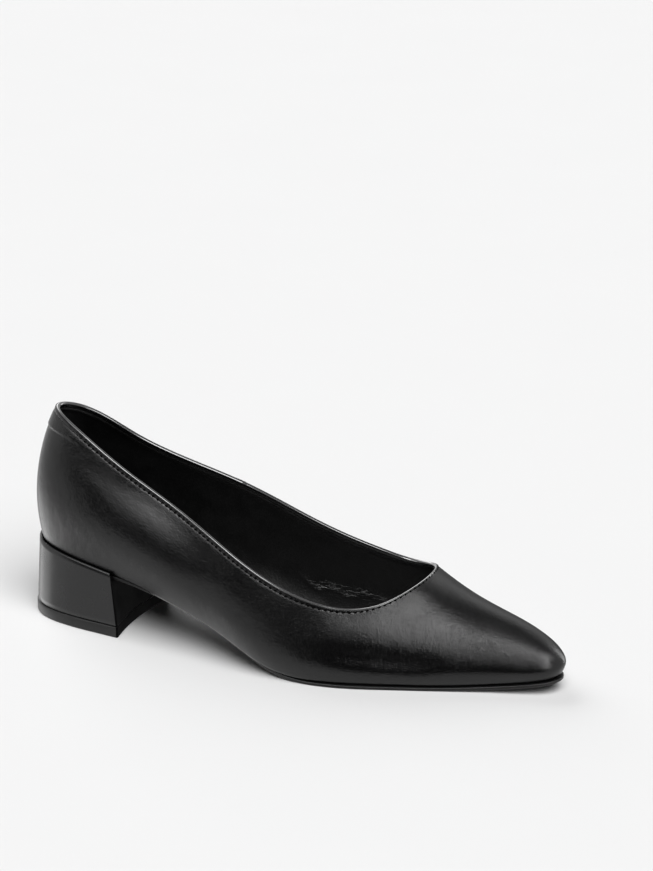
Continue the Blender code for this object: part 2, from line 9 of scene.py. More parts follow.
import bmesh
import bpy
import numpy as np
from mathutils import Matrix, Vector


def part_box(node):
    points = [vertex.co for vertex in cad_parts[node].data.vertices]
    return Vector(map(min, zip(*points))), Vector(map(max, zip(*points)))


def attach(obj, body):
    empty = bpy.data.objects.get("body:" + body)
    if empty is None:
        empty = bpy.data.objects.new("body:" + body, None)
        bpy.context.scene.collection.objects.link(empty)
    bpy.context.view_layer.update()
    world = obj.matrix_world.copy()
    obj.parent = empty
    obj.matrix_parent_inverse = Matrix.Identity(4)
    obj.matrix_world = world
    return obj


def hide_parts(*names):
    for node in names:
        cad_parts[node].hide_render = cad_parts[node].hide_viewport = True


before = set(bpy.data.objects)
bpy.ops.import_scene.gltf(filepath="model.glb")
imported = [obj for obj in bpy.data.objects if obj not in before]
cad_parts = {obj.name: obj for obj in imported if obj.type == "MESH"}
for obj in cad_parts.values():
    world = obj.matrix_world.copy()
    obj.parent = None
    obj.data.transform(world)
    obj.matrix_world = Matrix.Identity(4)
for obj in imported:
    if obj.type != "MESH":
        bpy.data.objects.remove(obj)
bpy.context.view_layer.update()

MM = 0.001  # metres in a millimetre
SIDES = ("lateral", "medial")


def table(names, *rows):
    """Rows of named values."""
    row_type = namedtuple("Row", names)
    return [row_type(*row) for row in rows]


# Driving dimensions of the last, as in the solids
LAST_LENGTH = 255.5  # feather line, heel back to toe tip
BALL_WIDTH = 70.5  # feather line, widest place of the forefoot
HEEL_SEAT = 33.9  # floor to the last's bottom at the heel's back
SEAT_FALL = 0.11  # slope of the straight heel seat, down towards the toe
SEAT_LENGTH = 47.0  # heel's back to the breast corners
TREAD_START = 0.596  # the bottom is level from here, as a share of the length
TREAD_END = 0.755  # and rises from here to the toe tip
TOE_SPRING = 5.6

# Thicknesses and gaps, as in the solids
WALL = 1.5  # leather and lining together
FEATHER_RADIUS = 1.6  # turn of the upper under the insole
LASTING_MARGIN = 5.0  # flat strip of the upper under the insole
GAP = 0.3  # between neighbours
SOLE_THICKNESS = 1.5
INSOLE_THICKNESS = 2.0
INSOLE_FOOT = FEATHER_RADIUS + 2 * GAP
HEEL_RIM = 5.2  # how far the heel's edge rises round the outsole's seat, at the back
BREAST_RIM = 4.0  # the same at the breast
RIM_WIDTH = 0.9
TOP_PIECE = 5.2  # thickness of the top piece
BREAST_HOLLOW = 2.6  # depth of the heel breast's hollow curve
HEEL_CORNER = 1.2  # rounding where the heel's sides meet its breast

# Plan of the heel outside the feather line, at its rim and at its foot
RIM_OUT = 1.8
FOOT_OUT_BACK = 3.6
FOOT_OUT_SIDE = 2.4
FOOT_FORWARD = 3.0  # how much further forward the breast is at the foot
TOP_PIECE_LIP = 0.35  # how far the top piece stands out of the heel's foot
RIM_PLAN = (RIM_OUT, RIM_OUT, 0.0)  # out at the back, out at the breast, and forward
FOOT_PLAN = (FOOT_OUT_BACK, FOOT_OUT_SIDE, FOOT_FORWARD)

# Sections of the last. along is a share of the last's length and lateral and medial the half widths of
# the feather line as shares of the ball's width. bulge is how far the widest place stands outside the
# feather line and bulge_up its height over it, in millimetres. spine is where the section meets the
# last's top line, a share of the length, and fullness the roundness there.
SECTIONS = table(
    "along lateral medial bulge bulge_up spine fullness",
    (0.000, 0.000, 0.000, 2.4, 23.0, 0.169, 0.72),
    (0.022, 0.162, 0.190, 2.9, 23.0, 0.174, 0.49),
    (0.067, 0.250, 0.284, 3.0, 22.0, 0.189, 0.22),
    (0.149, 0.314, 0.305, 3.0, 20.0, 0.224, 0.13),
    (0.258, 0.369, 0.280, 3.5, 18.0, 0.288, 0.24),
    (0.384, 0.446, 0.262, 4.1, 16.0, 0.398, 0.53),
    (0.509, 0.555, 0.334, 3.0, 13.0, 0.512, 0.65),
    (0.626, 0.537, 0.456, 1.8, 10.5, 0.626, 0.70),
    (0.728, 0.424, 0.502, 1.5, 9.0, 0.726, 0.69),
    (0.823, 0.304, 0.414, 1.5, 8.0, 0.816, 0.60),
    (0.904, 0.209, 0.294, 1.5, 7.0, 0.886, 0.67),
    (0.965, 0.144, 0.166, 1.5, 6.0, 0.930, 0.74),
    (0.992, 0.087, 0.068, 1.5, 6.0, 0.943, 0.80),
    (1.000, 0.018, -0.018, 1.6, 6.0, 0.946, 0.82),
)

# Height of the last's bottom over the floor along the arch, between the heel seat and the tread
PITCH = table("along height", (0.298, 22.3), (0.418, 12.8), (0.517, 4.0))

# Top line of the last, from the cone over the instep down to the toe. side is its place across.
CREST = table(
    "along height side",
    (0.159, 117.0, 0.0),
    (0.239, 111.3, 0.0),
    (0.318, 102.6, 0.0),
    (0.437, 87.4, 0.3),
    (0.557, 72.2, 0.8),
    (0.676, 57.6, 1.2),
    (0.776, 41.6, 1.6),
    (0.868, 31.6, 2.0),
    (0.929, 26.8, 2.0),
    (0.960, 23.8, 2.0),
)

# Height of the topline over the floor on both sides, from the back to the throat
TOPLINE = table(
    "along lateral medial",
    (0.000, 99.8, 99.8),
    (0.067, 93.2, 91.8),
    (0.149, 84.4, 83.1),
    (0.258, 73.0, 75.8),
    (0.384, 59.0, 67.6),
    (0.509, 44.3, 54.2),
    (0.626, 35.8, 42.1),
    (0.706, 37.6, 39.1),
)
THROAT = 0.7565  # where the topline crosses the last's top line

# Edge of the outsole, outside the feather line
SOLE_EDGE = table(
    "along lateral medial",
    (0.000, -0.8, -0.8),
    (0.169, -0.8, -0.8),
    (0.278, -3.0, -3.0),
    (0.398, -4.0, -4.5),
    (0.517, -1.5, -3.0),
    (0.616, 0.3, 0.2),
    (0.746, 0.4, 0.4),
    (1.000, 0.7, 0.7),
)

# Girths where a section's turn at the feather edge ends, and where it is widest
TURN_END = 0.06
WIDEST = 0.36


# The last

def curve_through(knots, values, period=None, end_slopes=None):
    """A curve of continuous curvature through the values, closed if it has a period."""
    x = np.asarray(knots, float)
    y = np.asarray(values, float)
    if period:
        x = np.concatenate([x - period, x, x + period])
        y = np.tile(y, 3)
    count = len(x)
    gap = np.diff(x)
    slope = np.diff(y) / gap
    matrix = np.eye(count)
    right = np.zeros(count)
    for i in range(1, count - 1):
        matrix[i, i - 1 : i + 2] = gap[i - 1], 2 * (gap[i - 1] + gap[i]), gap[i]
        right[i] = 6 * (slope[i] - slope[i - 1])
    if end_slopes:
        matrix[0, :2] = 2 * gap[0], gap[0]
        matrix[-1, -2:] = gap[-1], 2 * gap[-1]
        right[0] = 6 * (slope[0] - end_slopes[0])
        right[-1] = 6 * (end_slopes[1] - slope[-1])
    bend = np.linalg.solve(matrix, right)

    def at(t):
        t = np.asarray(t, float)
        if period:
            t = t % period
        i = np.clip(np.searchsorted(x, t) - 1, 0, count - 2)
        after, before, g = t - x[i], x[i + 1] - t, gap[i]
        return (
            (bend[i] * before**3 + bend[i + 1] * after**3) / (6 * g)
            + (y[i] / g - bend[i] * g / 6) * before
            + (y[i + 1] / g - bend[i + 1] * g / 6) * after
        )

    return at


def column(rows, name):
    return np.array([getattr(row, name) for row in rows], float)


def lengths_along(points):
    """Length of a line of points from its first point to each."""
    steps = np.linalg.norm(np.diff(points, axis=0), axis=1)
    return np.concatenate([[0.0], np.cumsum(steps)])


def side_shares(x, y):
    """Share of the way to the toe tip at each section of one side, along its chords."""
    length = lengths_along(np.stack([x, y], axis=-1))
    return length / length[-1]


SECTION_X = column(SECTIONS, "along") * LAST_LENGTH
LATERAL_Y = -column(SECTIONS, "lateral") * BALL_WIDTH
MEDIAL_Y = column(SECTIONS, "medial") * BALL_WIDTH
LATERAL_SHARE = side_shares(SECTION_X, LATERAL_Y)
MEDIAL_SHARE = side_shares(SECTION_X, MEDIAL_Y)
# A place round the last runs from 0 at the heel's back along the outer side to 1 at the toe tip, and on
# along the inner side to 2 at the heel's back again.
ROUND = np.concatenate([LATERAL_SHARE, 2 - MEDIAL_SHARE[-2:0:-1]])


def all_round(lateral, medial):
    """A closed curve of a value that each section has on both sides."""
    return curve_through(ROUND, np.concatenate([lateral, medial[-2:0:-1]]), period=2)


def same_both_sides(name):
    values = column(SECTIONS, name)
    return all_round(values, values)


feather_x = all_round(SECTION_X, SECTION_X)
feather_y = all_round(LATERAL_Y, MEDIAL_Y)
bulge_out = same_both_sides("bulge")
bulge_up = same_both_sides("bulge_up")
spine_share = same_both_sides("spine")
fullness = same_both_sides("fullness")


def along_length(rows, name):
    """A curve of one column of a table along the last's length."""
    return curve_through(column(rows, "along") * LAST_LENGTH, column(rows, name))


crest_height = along_length(CREST, "height")
crest_side = along_length(CREST, "side")

TREAD_HEIGHT = SOLE_THICKNESS + GAP
arch_height = curve_through(
    np.concatenate([[SEAT_LENGTH], column(PITCH, "along") * LAST_LENGTH, [TREAD_START * LAST_LENGTH]]),
    np.concatenate([[HEEL_SEAT - SEAT_FALL * SEAT_LENGTH], column(PITCH, "height"), [TREAD_HEIGHT]]),
    end_slopes=(-SEAT_FALL, 0.0),
)


def bottom(x):
    """Height of the last's bottom: straight seat, arch, level tread and toe spring."""
    seat = HEEL_SEAT - SEAT_FALL * x
    arch = arch_height(np.clip(x, SEAT_LENGTH, TREAD_START * LAST_LENGTH))
    spring = np.maximum(x / LAST_LENGTH - TREAD_END, 0) / (1 - TREAD_END)
    return np.where(x < SEAT_LENGTH, seat, arch + TOE_SPRING * spring**2)


def inward(place):
    """Feather point, direction and distance from it to the spine in plan, and the spine's x."""
    x, y = feather_x(place), feather_y(place)
    spine_x = spine_share(place) * LAST_LENGTH
    dx, dy = spine_x - x, crest_side(spine_x) - y
    reach = np.hypot(dx, dy)
    return x, y, dx / reach, dy / reach, reach, spine_x


def bezier(points, t):
    """A Bezier curve of any degree, by repeated steps between its control points."""
    points = list(points)
    while len(points) > 1:
        points = [a + (b - a) * t for a, b in zip(points, points[1:])]
    return points[0]


STEEPEST = 0.85  # longest pull of a section's upper curve, as a share of its rise
SLOPE_STEP = 0.5  # half the length over which the top line's slope is measured


def last_point(place, girth):
    """Point of the last's skin. girth runs from 0 under the feather edge to 1 on the last's top line."""
    place, girth = np.broadcast_arrays(np.asarray(place, float), np.asarray(girth, float))
    x, y, ex, ey, reach, spine_x = inward(place)
    base = bottom(x)
    out, up = bulge_out(place), bulge_up(place)
    rise = crest_height(spine_x) - base
    # The feather's turn is an arc that ends leaning out as the wall above it starts.
    lean = np.arctan2(2 * out, up)
    angle = -np.pi / 2 + (np.pi / 2 - lean) * girth / TURN_END
    turn_out = FEATHER_RADIUS * (np.cos(angle) - 1)
    turn_up = FEATHER_RADIUS * (np.sin(angle) + 1)
    # From there the wall curves up to its widest place.
    wall_out = FEATHER_RADIUS * (np.cos(lean) - 1)
    wall_up = FEATHER_RADIUS * (1 - np.sin(lean))
    middle_up = wall_up + (out - wall_out) / np.tan(lean)
    t = (girth - TURN_END) / (WIDEST - TURN_END)
    low_out = bezier([wall_out, out, out], t)
    low_up = bezier([wall_up, middle_up, up], t)
    # Above it the wall bends in to the top line with the same curvature.
    curvature = (out - wall_out) / (2 * (up - middle_up) ** 2)
    pull = fullness(place) * (out + reach)
    start = np.minimum(np.sqrt(2 / 3 * (out + reach - pull) / curvature), STEEPEST * (rise - up))
    crest_slope = (crest_height(spine_x + SLOPE_STEP) - crest_height(spine_x - SLOPE_STEP)) / (2 * SLOPE_STEP)
    t = (girth - WIDEST) / (1 - WIDEST)
    high_out = bezier([out, out, pull - reach, -reach], t)
    high_up = bezier([up, up + start, rise - ex * crest_slope * pull, rise], t)
    zones = [girth < TURN_END, girth < WIDEST]
    outward = np.select(zones, [turn_out, low_out], high_out)
    height = np.select(zones, [turn_up, low_up], high_up)
    return np.stack([x - ex * outward, y - ey * outward, base + height], axis=-1)


SMALL = 1e-4  # step for measuring directions on the last


def unit(vectors):
    return vectors / np.linalg.norm(vectors, axis=-1, keepdims=True)


def last_normal(place, girth):
    """Unit normal of the last's skin, pointing out."""
    along = last_point(place + SMALL, girth) - last_point(place - SMALL, girth)
    around = last_point(place, girth + SMALL) - last_point(place, girth - SMALL)
    return unit(np.cross(along, around))


def place_on(side, share):
    """Place round the last at a share of the way along one side."""
    return share if side == "lateral" else 2 - share


SEARCH = 4001  # points that a curve is searched at
SPINE_START = 0.2  # share of the way along a side where the search along its top line starts
HALVINGS = 40  # steps of a search by halving


def place_at(side, x):
    """Share of the way along one side where the feather line has reached x."""
    shares = np.linspace(0, 1, SEARCH)
    return np.interp(x, feather_x(place_on(side, shares)), shares)


def spine_place(side, spine_x):
    """Share of the way along one side whose section meets the top line at spine_x."""
    shares = np.linspace(SPINE_START, 1, SEARCH)
    return np.interp(spine_x, spine_share(place_on(side, shares)) * LAST_LENGTH, shares)


THROAT_X = THROAT * LAST_LENGTH
THROAT_SHARE = {side: float(spine_place(side, THROAT_X)) for side in SIDES}


def topline_curve():
    """Topline height by the share of the way along. The inner side has negative shares."""
    along = column(TOPLINE, "along") * LAST_LENGTH
    lateral, medial = (np.append(place_at(side, along), THROAT_SHARE[side]) for side in SIDES)
    outer, inner = (np.append(column(TOPLINE, side), crest_height(THROAT_X)) for side in SIDES)
    shares = np.concatenate([-medial[:0:-1], lateral])
    return curve_through(shares, np.concatenate([inner[:0:-1], outer]))


topline_height = topline_curve()


def girth_at_height(place, height):
    """Girth where the skin reaches a height, by halving."""
    low = np.full(np.shape(place), WIDEST)
    high = np.ones(np.shape(place))
    for _ in range(HALVINGS):
        middle = (low + high) / 2
        below = last_point(place, middle)[..., 2] < height
        low = np.where(below, middle, low)
        high = np.where(below, high, middle)
    return (low + high) / 2


def smooth_step(t):
    t = np.clip(t, 0, 1)
    return t * t * (3 - 2 * t)


# Mesh density of the upper
COLLAR_COLUMNS = 230  # each side, heel back to throat
VAMP_COLUMNS = 100  # each side, throat to toe tip
COLUMNS = COLLAR_COLUMNS + 1 + VAMP_COLUMNS
RIM = slice(0, COLLAR_COLUMNS + 1)  # the columns that end at the topline
TOPLINE_STEPS = 1500  # points that the topline is measured at
PATH_STEPS = 220  # points that each column's path over the last is measured at
# Depths below the topline of the rows next to it, and how many rows share the rest of the wall
TOP_ROWS = (0, 0.4, 0.8, 1.2, 1.55, 1.9, 2.25, 2.6, 3.0, 3.6, 4.4, 5.4, 6.4, 7.2, 7.8, 8.4, 9.0, 10.0)
OUTER_ROWS = 48
LINING_ROWS = 40


def top_edge(side):
    """Shares and girths along one side's top: the topline, then the vamp's top line."""
    throat = THROAT_SHARE[side]
    shares = throat * (1 - (1 - np.linspace(0, 1, TOPLINE_STEPS)) ** 2)
    place = place_on(side, shares)
    girth = girth_at_height(place, topline_height(shares if side == "lateral" else -shares))
    girth[-1] = 1.0
    length = lengths_along(last_point(place, girth))
    where = np.linspace(0, length[-1], COLLAR_COLUMNS + 1)
    toe_x = spine_share(1.0) * LAST_LENGTH
    vamp_x = THROAT_X + (toe_x - THROAT_X) * np.linspace(0, 1, VAMP_COLUMNS + 1)[1:]
    vamp_share = spine_place(side, vamp_x)
    vamp_share[-1] = 1.0
    share = np.concatenate([np.interp(where, length, shares), vamp_share])
    girth = np.concatenate([np.interp(where, length, girth), np.ones(VAMP_COLUMNS)])
    return share, girth


def low_edge(side):
    """Shares of the same columns along the feather line, evenly spread."""
    throat = THROAT_SHARE[side]
    collar = np.linspace(0, throat, COLLAR_COLUMNS + 1)
    return np.concatenate([collar, np.linspace(throat, 1, VAMP_COLUMNS + 1)[1:]])


class Wall:
    """One side of the upper as columns of paths over the last, from the feather edge to the top."""

    def __init__(self, side):
        self.side = side
        top_share, top_girth = top_edge(side)
        self.low_share = low_edge(side)
        part = np.linspace(0, 1, PATH_STEPS)
        high = np.clip((part - WIDEST) / (1 - WIDEST), 0, 1)
        self.girth = np.minimum(part, WIDEST) + (top_girth[:, None] - WIDEST) * high
        self.share = self.low_share[:, None] + (top_share - self.low_share)[:, None] * high**2
        points = last_point(place_on(side, self.share), self.girth)
        steps = np.linalg.norm(np.diff(points, axis=1), axis=2)
        to_top = np.cumsum(steps[:, ::-1], axis=1)[:, ::-1]
        self.depth = np.concatenate([to_top, np.zeros((len(points), 1))], axis=1)

    def row_depths(self, count):
        """Depths of the rows from the feather edge up: evenly spread, then the rows at the top."""
        top = np.array(TOP_ROWS[::-1], float)
        whole = self.depth[:, :1]
        spread = np.linspace(1, 0, count, endpoint=False)
        return np.concatenate([top[0] + (whole - top[0]) * spread, np.tile(top, (len(whole), 1))], axis=1)

    def skin(self, depth):
        """Points of the swelled skin at depths below the top, with normals of the last and shares."""
        share, girth = np.empty_like(depth), np.empty_like(depth)
        for i in range(len(depth)):
            share[i] = np.interp(depth[i], self.depth[i, ::-1], self.share[i, ::-1])
            girth[i] = np.interp(depth[i], self.depth[i, ::-1], self.girth[i, ::-1])
        place = place_on(self.side, share)
        points, normals = last_point(place, girth), last_normal(place, girth)
        swell = swell_relief(self.side, points) * smooth_step((1 - girth) / CREST_FADE)
        return points + normals * swell[..., None], normals, share


# Relief of the upper, outwards in millimetres

STITCH_LINE = 1.55  # depth of the stitch row below the wall's top
GROOVE_WIDTH = 0.6
GROOVE_DEPTH = 0.16
FOLD_RISE = 0.12  # how far the strip above the stitches stands out
TAB_STEP = 0.45  # how far the heel tab stands out of the quarters
TAB_HEIGHT = 9.4  # below the topline, at the heel's back
TAB_LOSS = 0.6  # how much of that is lost on the way to its end
TAB_END = 0.15  # where it has run out, as a share of the way to the toe
TAB_EDGE = 0.5  # width of its lower edge


def topline_relief(depth):
    """The strip along the topline, and the stitches' groove below it."""
    groove = -GROOVE_DEPTH * np.exp(-(((depth - STITCH_LINE) / GROOVE_WIDTH) ** 2))
    return groove + FOLD_RISE * smooth_step((STITCH_LINE - depth) / GROOVE_WIDTH)


def tab_relief(share, depth):
    """The heel tab: a step in the wall, highest at the heel's back."""
    height = TAB_HEIGHT * (1 - TAB_LOSS * smooth_step(share / TAB_END))
    fade = 1 - smooth_step((share - TAB_END / 2) / (TAB_END / 2))
    return TAB_STEP * fade * smooth_step((height - depth) / TAB_EDGE + 0.5)


# Soft swells and troughs of the leather. start and end are points seen from the side, x and
# z in the last's frame. width is how far the form spreads across and height how far it stands out, below
# zero for a trough.
CREST_FADE = 0.1  # they fade out over this share of the girth at the last's top line
SWELL = "start end width height"
SWELLS = {
    "lateral": table(
        SWELL,
        ((19, 79), (87, 53), 8.0, 0.55),
        ((26, 58), (96, 37), 13.5, 1.70),
        ((21, 94), (63, 76), 8.0, 0.85),
        ((86, 64), (152, 38), 9.0, 1.90),
        ((92, 46), (140, 30), 8.5, 0.70),
        ((40, 78), (110, 52), 7.0, -0.50),
        ((158, 35), (196, 33), 6.0, -1.05),
        ((160, 16), (205, 13), 4.5, -1.00),
        ((199, 21), (242, 12), 4.0, 0.15),
    ),
    "medial": table(
        SWELL,
        ((30, 72), (90, 55), 10.0, 0.60),
        ((95, 48), (150, 32), 10.0, -0.40),
        ((160, 24), (205, 18), 8.0, 0.40),
    ),
}


def swell_relief(side, points):
    """The swells and troughs of one side, each fading out at its ends."""
    total = np.zeros(points.shape[:-1])
    for swell in SWELLS[side]:
        start, end = np.array(swell.start, float), np.array(swell.end, float)
        half = (end - start) / 2
        off = points[..., ::2] - (start + end) / 2
        along = off @ half / (half @ half)
        across = (off[..., 0] * half[1] - off[..., 1] * half[0]) / np.linalg.norm(half)
        total += swell.height * np.exp(-((across / swell.width) ** 2) - along**4)
    return total


# Relief of the lining, inwards: the ridge where the binding's inner edge is stitched down, and the main
# creases on the inner side. along is from the heel's back and up over the last's bottom.
RIDGE_DEPTH = 2.9  # below the wall's top
RIDGE_WIDTH = 0.8
RIDGE_HEIGHT = 0.45
CREASE_WIDTH = 1.3
CREASE_HEIGHT = 0.5
CREASES = table(
    "along up slope length",
    (123, 14.6, -0.50, 5.0),
    (130, 13.6, 0.35, 4.0),
    (137, 15.0, -0.40, 5.0),
    (145, 14.0, 0.30, 4.0),
    (152, 14.4, -0.45, 5.0),
    (159, 12.8, 0.30, 4.0),
)


def lining_relief(side, points, depth, collar):
    """The ridge along the collar, and the creases low on the inner side."""
    total = np.where(collar, RIDGE_HEIGHT * np.exp(-(((depth - RIDGE_DEPTH) / RIDGE_WIDTH) ** 2)), 0)
    x, up = points[..., 0], points[..., 2] - bottom(points[..., 0])
    for crease in CREASES if side == "medial" else ():
        along = x - crease.along
        across = up - crease.up - crease.slope * along
        total += CREASE_HEIGHT * np.exp(-((across / CREASE_WIDTH) ** 2) - (along / crease.length) ** 2)
    return total


# Mesh helpers

class Surfaces:
    """Grids of points that become one mesh, each with its own material."""

    def __init__(self):
        self.points, self.faces, self.materials = [], [], []
        self.count = 0

    def add(self, points, faces, material):
        """Points, and faces that count from the first of them."""
        self.faces += (faces + self.count).tolist()
        self.materials += [material] * len(faces)
        self.points.append(points)
        self.count += len(points)

    def grid(self, lines, material=0, wrap_lines=False, wrap_points=False):
        """Quads over an array of lines of points."""
        lines = np.asarray(lines)
        rows, columns = lines.shape[:2]
        index = np.arange(rows * columns).reshape(rows, columns)
        if wrap_lines:
            index = np.concatenate([index, index[:1]])
        if wrap_points:
            index = np.concatenate([index, index[:, :1]], axis=1)
        quads = np.stack([index[:-1, :-1], index[1:, :-1], index[1:, 1:], index[:-1, 1:]], axis=-1)
        self.add(lines.reshape(-1, 3), quads.reshape(-1, 4), material)

    def face(self, points):
        """One flat face with many corners."""
        self.add(points, np.arange(len(points))[None], 0)


WELD = 1e-6  # metres
SHARP_ANGLE = 0.9  # radians: an edge that turns more stays sharp


def frame_shift():
    """From the last's frame to the row frame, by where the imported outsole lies."""
    place = loop_places()
    plan = moved_out(place, sole_edge(place))
    low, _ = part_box("outsole")
    return np.array([low.x / MM - plan[:, 0].min(), low.y / MM - plan[:, 1].min(), 0.0])


def put(name, data):
    """A new object in the scene."""
    made = bpy.data.objects.new(name, data)
    bpy.context.scene.collection.objects.link(made)
    return made


def make(name, surfaces, materials, replaces):
    """One piece of the shoe, welded and shaded smooth, in the row frame."""
    data = bpy.data.meshes.new(name)
    points = (np.concatenate(surfaces.points) + SHIFT) * MM
    data.from_pydata(points.tolist(), [], surfaces.faces)
    data.polygons.foreach_set("material_index", surfaces.materials)
    mesh = bmesh.new()
    mesh.from_mesh(data)
    bmesh.ops.remove_doubles(mesh, verts=mesh.verts, dist=WELD)
    bmesh.ops.recalc_face_normals(mesh, faces=mesh.faces)
    mesh.to_mesh(data)
    mesh.free()
    data.shade_smooth()
    data.set_sharp_from_angle(angle=SHARP_ANGLE)
    for material in materials:
        data.materials.append(material)
    piece = put(name, data)
    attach(piece, "root")
    if replaces:
        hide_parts(replaces)


# Upper, binding and stitches

MARGIN_LOSS = 0.6  # how much of the lasting margin is cut away at the toe tip
MARGIN_CUT = 0.9  # share of the way to the toe tip where the cut starts


def margin_line(side, share, lift):
    """Free edge of the lasting margin, lift above the last's bottom."""
    cut = smooth_step((share - MARGIN_CUT) / (1 - MARGIN_CUT))
    plan = moved_in(place_on(side, share), FEATHER_RADIUS + LASTING_MARGIN * (1 - MARGIN_LOSS * cut))
    return ring(plan, bottom(plan[:, 0]) + lift)


def upper_surfaces(walls):
    """The upper: leather outside, lining inside, open at the collar and underneath."""
    surfaces = Surfaces()
    collar = (np.arange(COLUMNS) <= COLLAR_COLUMNS)[:, None]
    for side, wall in walls.items():
        depth = wall.row_depths(OUTER_ROWS)
        skin, normal, share = wall.skin(depth)
        relief = np.where(collar, topline_relief(depth), 0) + tab_relief(share, depth)
        outer = skin + normal * relief[..., None]
        depth = wall.row_depths(LINING_ROWS)
        skin, normal, _ = wall.skin(depth)
        inner = skin - normal * (WALL + lining_relief(side, skin, depth, collar))[..., None]
        outer_margin = margin_line(side, wall.low_share, 0.0)[:, None]
        inner_margin = margin_line(side, wall.low_share, WALL)[:, None]
        surfaces.grid(np.concatenate([outer_margin, outer], axis=1), 0)
        surfaces.grid(np.concatenate([inner_margin, inner], axis=1), 1)
        surfaces.grid(np.concatenate([outer_margin, inner_margin], axis=1), 1)
        surfaces.grid(np.stack([outer[RIM, -1], inner[RIM, -1]], axis=1), 0)
    return surfaces


def once_round(walls, depth):
    """Points and normals along a line below the topline, once round from the heel's back."""
    depths = np.full((COLUMNS, 1), depth)
    (outer, outer_normal, _), (inner, inner_normal, _) = (wall.skin(depths) for wall in walls.values())
    points = np.concatenate([outer[RIM, 0], inner[RIM, 0][-2:0:-1]])
    normals = np.concatenate([outer_normal[RIM, 0], inner_normal[RIM, 0][-2:0:-1]])
    return points, unit(normals)


# Section of the binding: out of the wall's outer face, and up over its cut edge. It folds over the edge and
# runs down inside as a flat band, and its hidden side lies in the wall.
BINDING_SECTION = (
    (0.00, -0.12),
    (0.12, -0.06),
    (0.20, 0.08),
    (0.20, 0.26),
    (0.10, 0.48),
    (-0.12, 0.68),
    (-0.42, 0.80),
    (-0.76, 0.84),
    (-1.12, 0.80),
    (-1.42, 0.66),
    (-1.62, 0.42),
    (-1.70, 0.10),
    (-1.72, -0.50),
    (-1.72, -1.00),
    (-1.66, -1.24),
    (-1.52, -1.30),
    (-1.38, -1.20),
    (-1.30, -0.90),
    (-1.20, -0.30),
    (-0.30, -0.12),
    (-0.14, -0.12),
)
SPLICE_PLACE = 0.775  # where its ends overlap, as a share of the way round from the heel's back
SPLICE_LENGTH = 7.0  # how far they overlap
SPLICE_STEP = 0.16  # how much the overlap stands out, as a share of the section


def splice_swell(edge):
    """How much larger the binding's section is at its overlap: a sharp end, then a long fade."""
    length = lengths_along(np.concatenate([edge, edge[:1]]))
    past = length[:-1] - SPLICE_PLACE * length[-1]
    return np.where(past < 0, 0.0, SPLICE_STEP * (1 - smooth_step(past / SPLICE_LENGTH)))


def binding_surfaces(walls):
    """The binding, folded over the topline, its ends overlapping on the inner side."""
    edge, normal = once_round(walls, 0.0)
    along = unit(np.roll(edge, -1, axis=0) - np.roll(edge, 1, axis=0))
    rise = unit(np.cross(normal, along))
    middle = np.array([-WALL / 2, 0.0])
    section = middle + (np.array(BINDING_SECTION) - middle) * (1 + splice_swell(edge))[:, None, None]
    rings = edge[:, None] + normal[:, None] * section[..., :1] + rise[:, None] * section[..., 1:]
    surfaces = Surfaces()
    surfaces.grid(rings, wrap_lines=True, wrap_points=True)
    return surfaces


STITCH_PITCH = 2.65
STITCH_LENGTH = 1.9
STITCH_RADIUS = 0.52
STITCH_SLANT = 0.22  # sideways over its length, as a slope
STITCH_SINK = 0.12  # of its middle below the leather
STITCH_RINGS = 7
STITCH_SIDES = 8
STITCH_TIP = 0.02  # what is left of its section at its ends, as a share


def stitch_surfaces(walls):
    """The row of stitches in the groove under the binding."""
    line, normal = once_round(walls, STITCH_LINE)
    closed = np.concatenate([line, line[:1]])
    length = lengths_along(closed)
    count = int(length[-1] / STITCH_PITCH)
    surfaces = Surfaces()
    for k in range(count):
        where = length[-1] * (k + 0.5) / count
        middle = np.array([np.interp(where, length, closed[:, i]) for i in range(3)])
        i = int(np.searchsorted(length, where)) % len(line)
        along = unit(line[i] - line[i - 1])
        out = normal[i]
        across = unit(np.cross(out, along))
        along = unit(along + STITCH_SLANT * across)
        across = unit(np.cross(out, along))
        capsule(surfaces, middle - out * STITCH_SINK, along, across, out)
    return surfaces


def capsule(surfaces, middle, along, across, out):
    """One stitch: a short thread with round ends that dips at both of them."""
    rings = []
    turns = np.linspace(0, 2 * np.pi, STITCH_SIDES, endpoint=False)
    for t in np.linspace(-1, 1, STITCH_RINGS):
        radius = STITCH_RADIUS * np.sqrt(max(1 - abs(t) ** 3, STITCH_TIP))
        centre = middle + along * t * STITCH_LENGTH / 2 - out * STITCH_RADIUS * t * t
        rings.append(centre + radius * (np.cos(turns)[:, None] * across + np.sin(turns)[:, None] * out))
    surfaces.grid(np.array(rings), wrap_points=True)
    surfaces.face(rings[0])
    surfaces.face(rings[-1])


# Insole and outsole

PLATE_COLUMNS = 160  # each side
PLATE_ACROSS = 28


def loop_places():
    """Places once round the feather line, closer together at the heel's back and the toe tip."""
    shares = (1 - np.cos(np.linspace(0, np.pi, PLATE_COLUMNS + 1))) / 2
    return np.concatenate([shares, (2 - shares)[-2:0:-1]])


def moved_in(place, distance):
    """Feather points moved towards the spine in plan."""
    x, y, ex, ey, _, _ = inward(place)
    return np.stack([x + ex * distance, y + ey * distance], axis=-1)


def moved_out(place, distance):
    """Feather points moved out of the outline in plan."""
    tx = feather_x(place + SMALL) - feather_x(place - SMALL)
    ty = feather_y(place + SMALL) - feather_y(place - SMALL)
    length = np.hypot(tx, ty)
    x, y = feather_x(place) + ty / length * distance, feather_y(place) - tx / length * distance
    return np.stack([x, y], axis=-1)


def sole_edge(place):
    """Outline of the outsole in plan, outside the feather line."""
    lateral, medial = (along_length(SOLE_EDGE, side)(feather_x(place)) for side in SIDES)
    return np.where(place <= 1, lateral, medial)


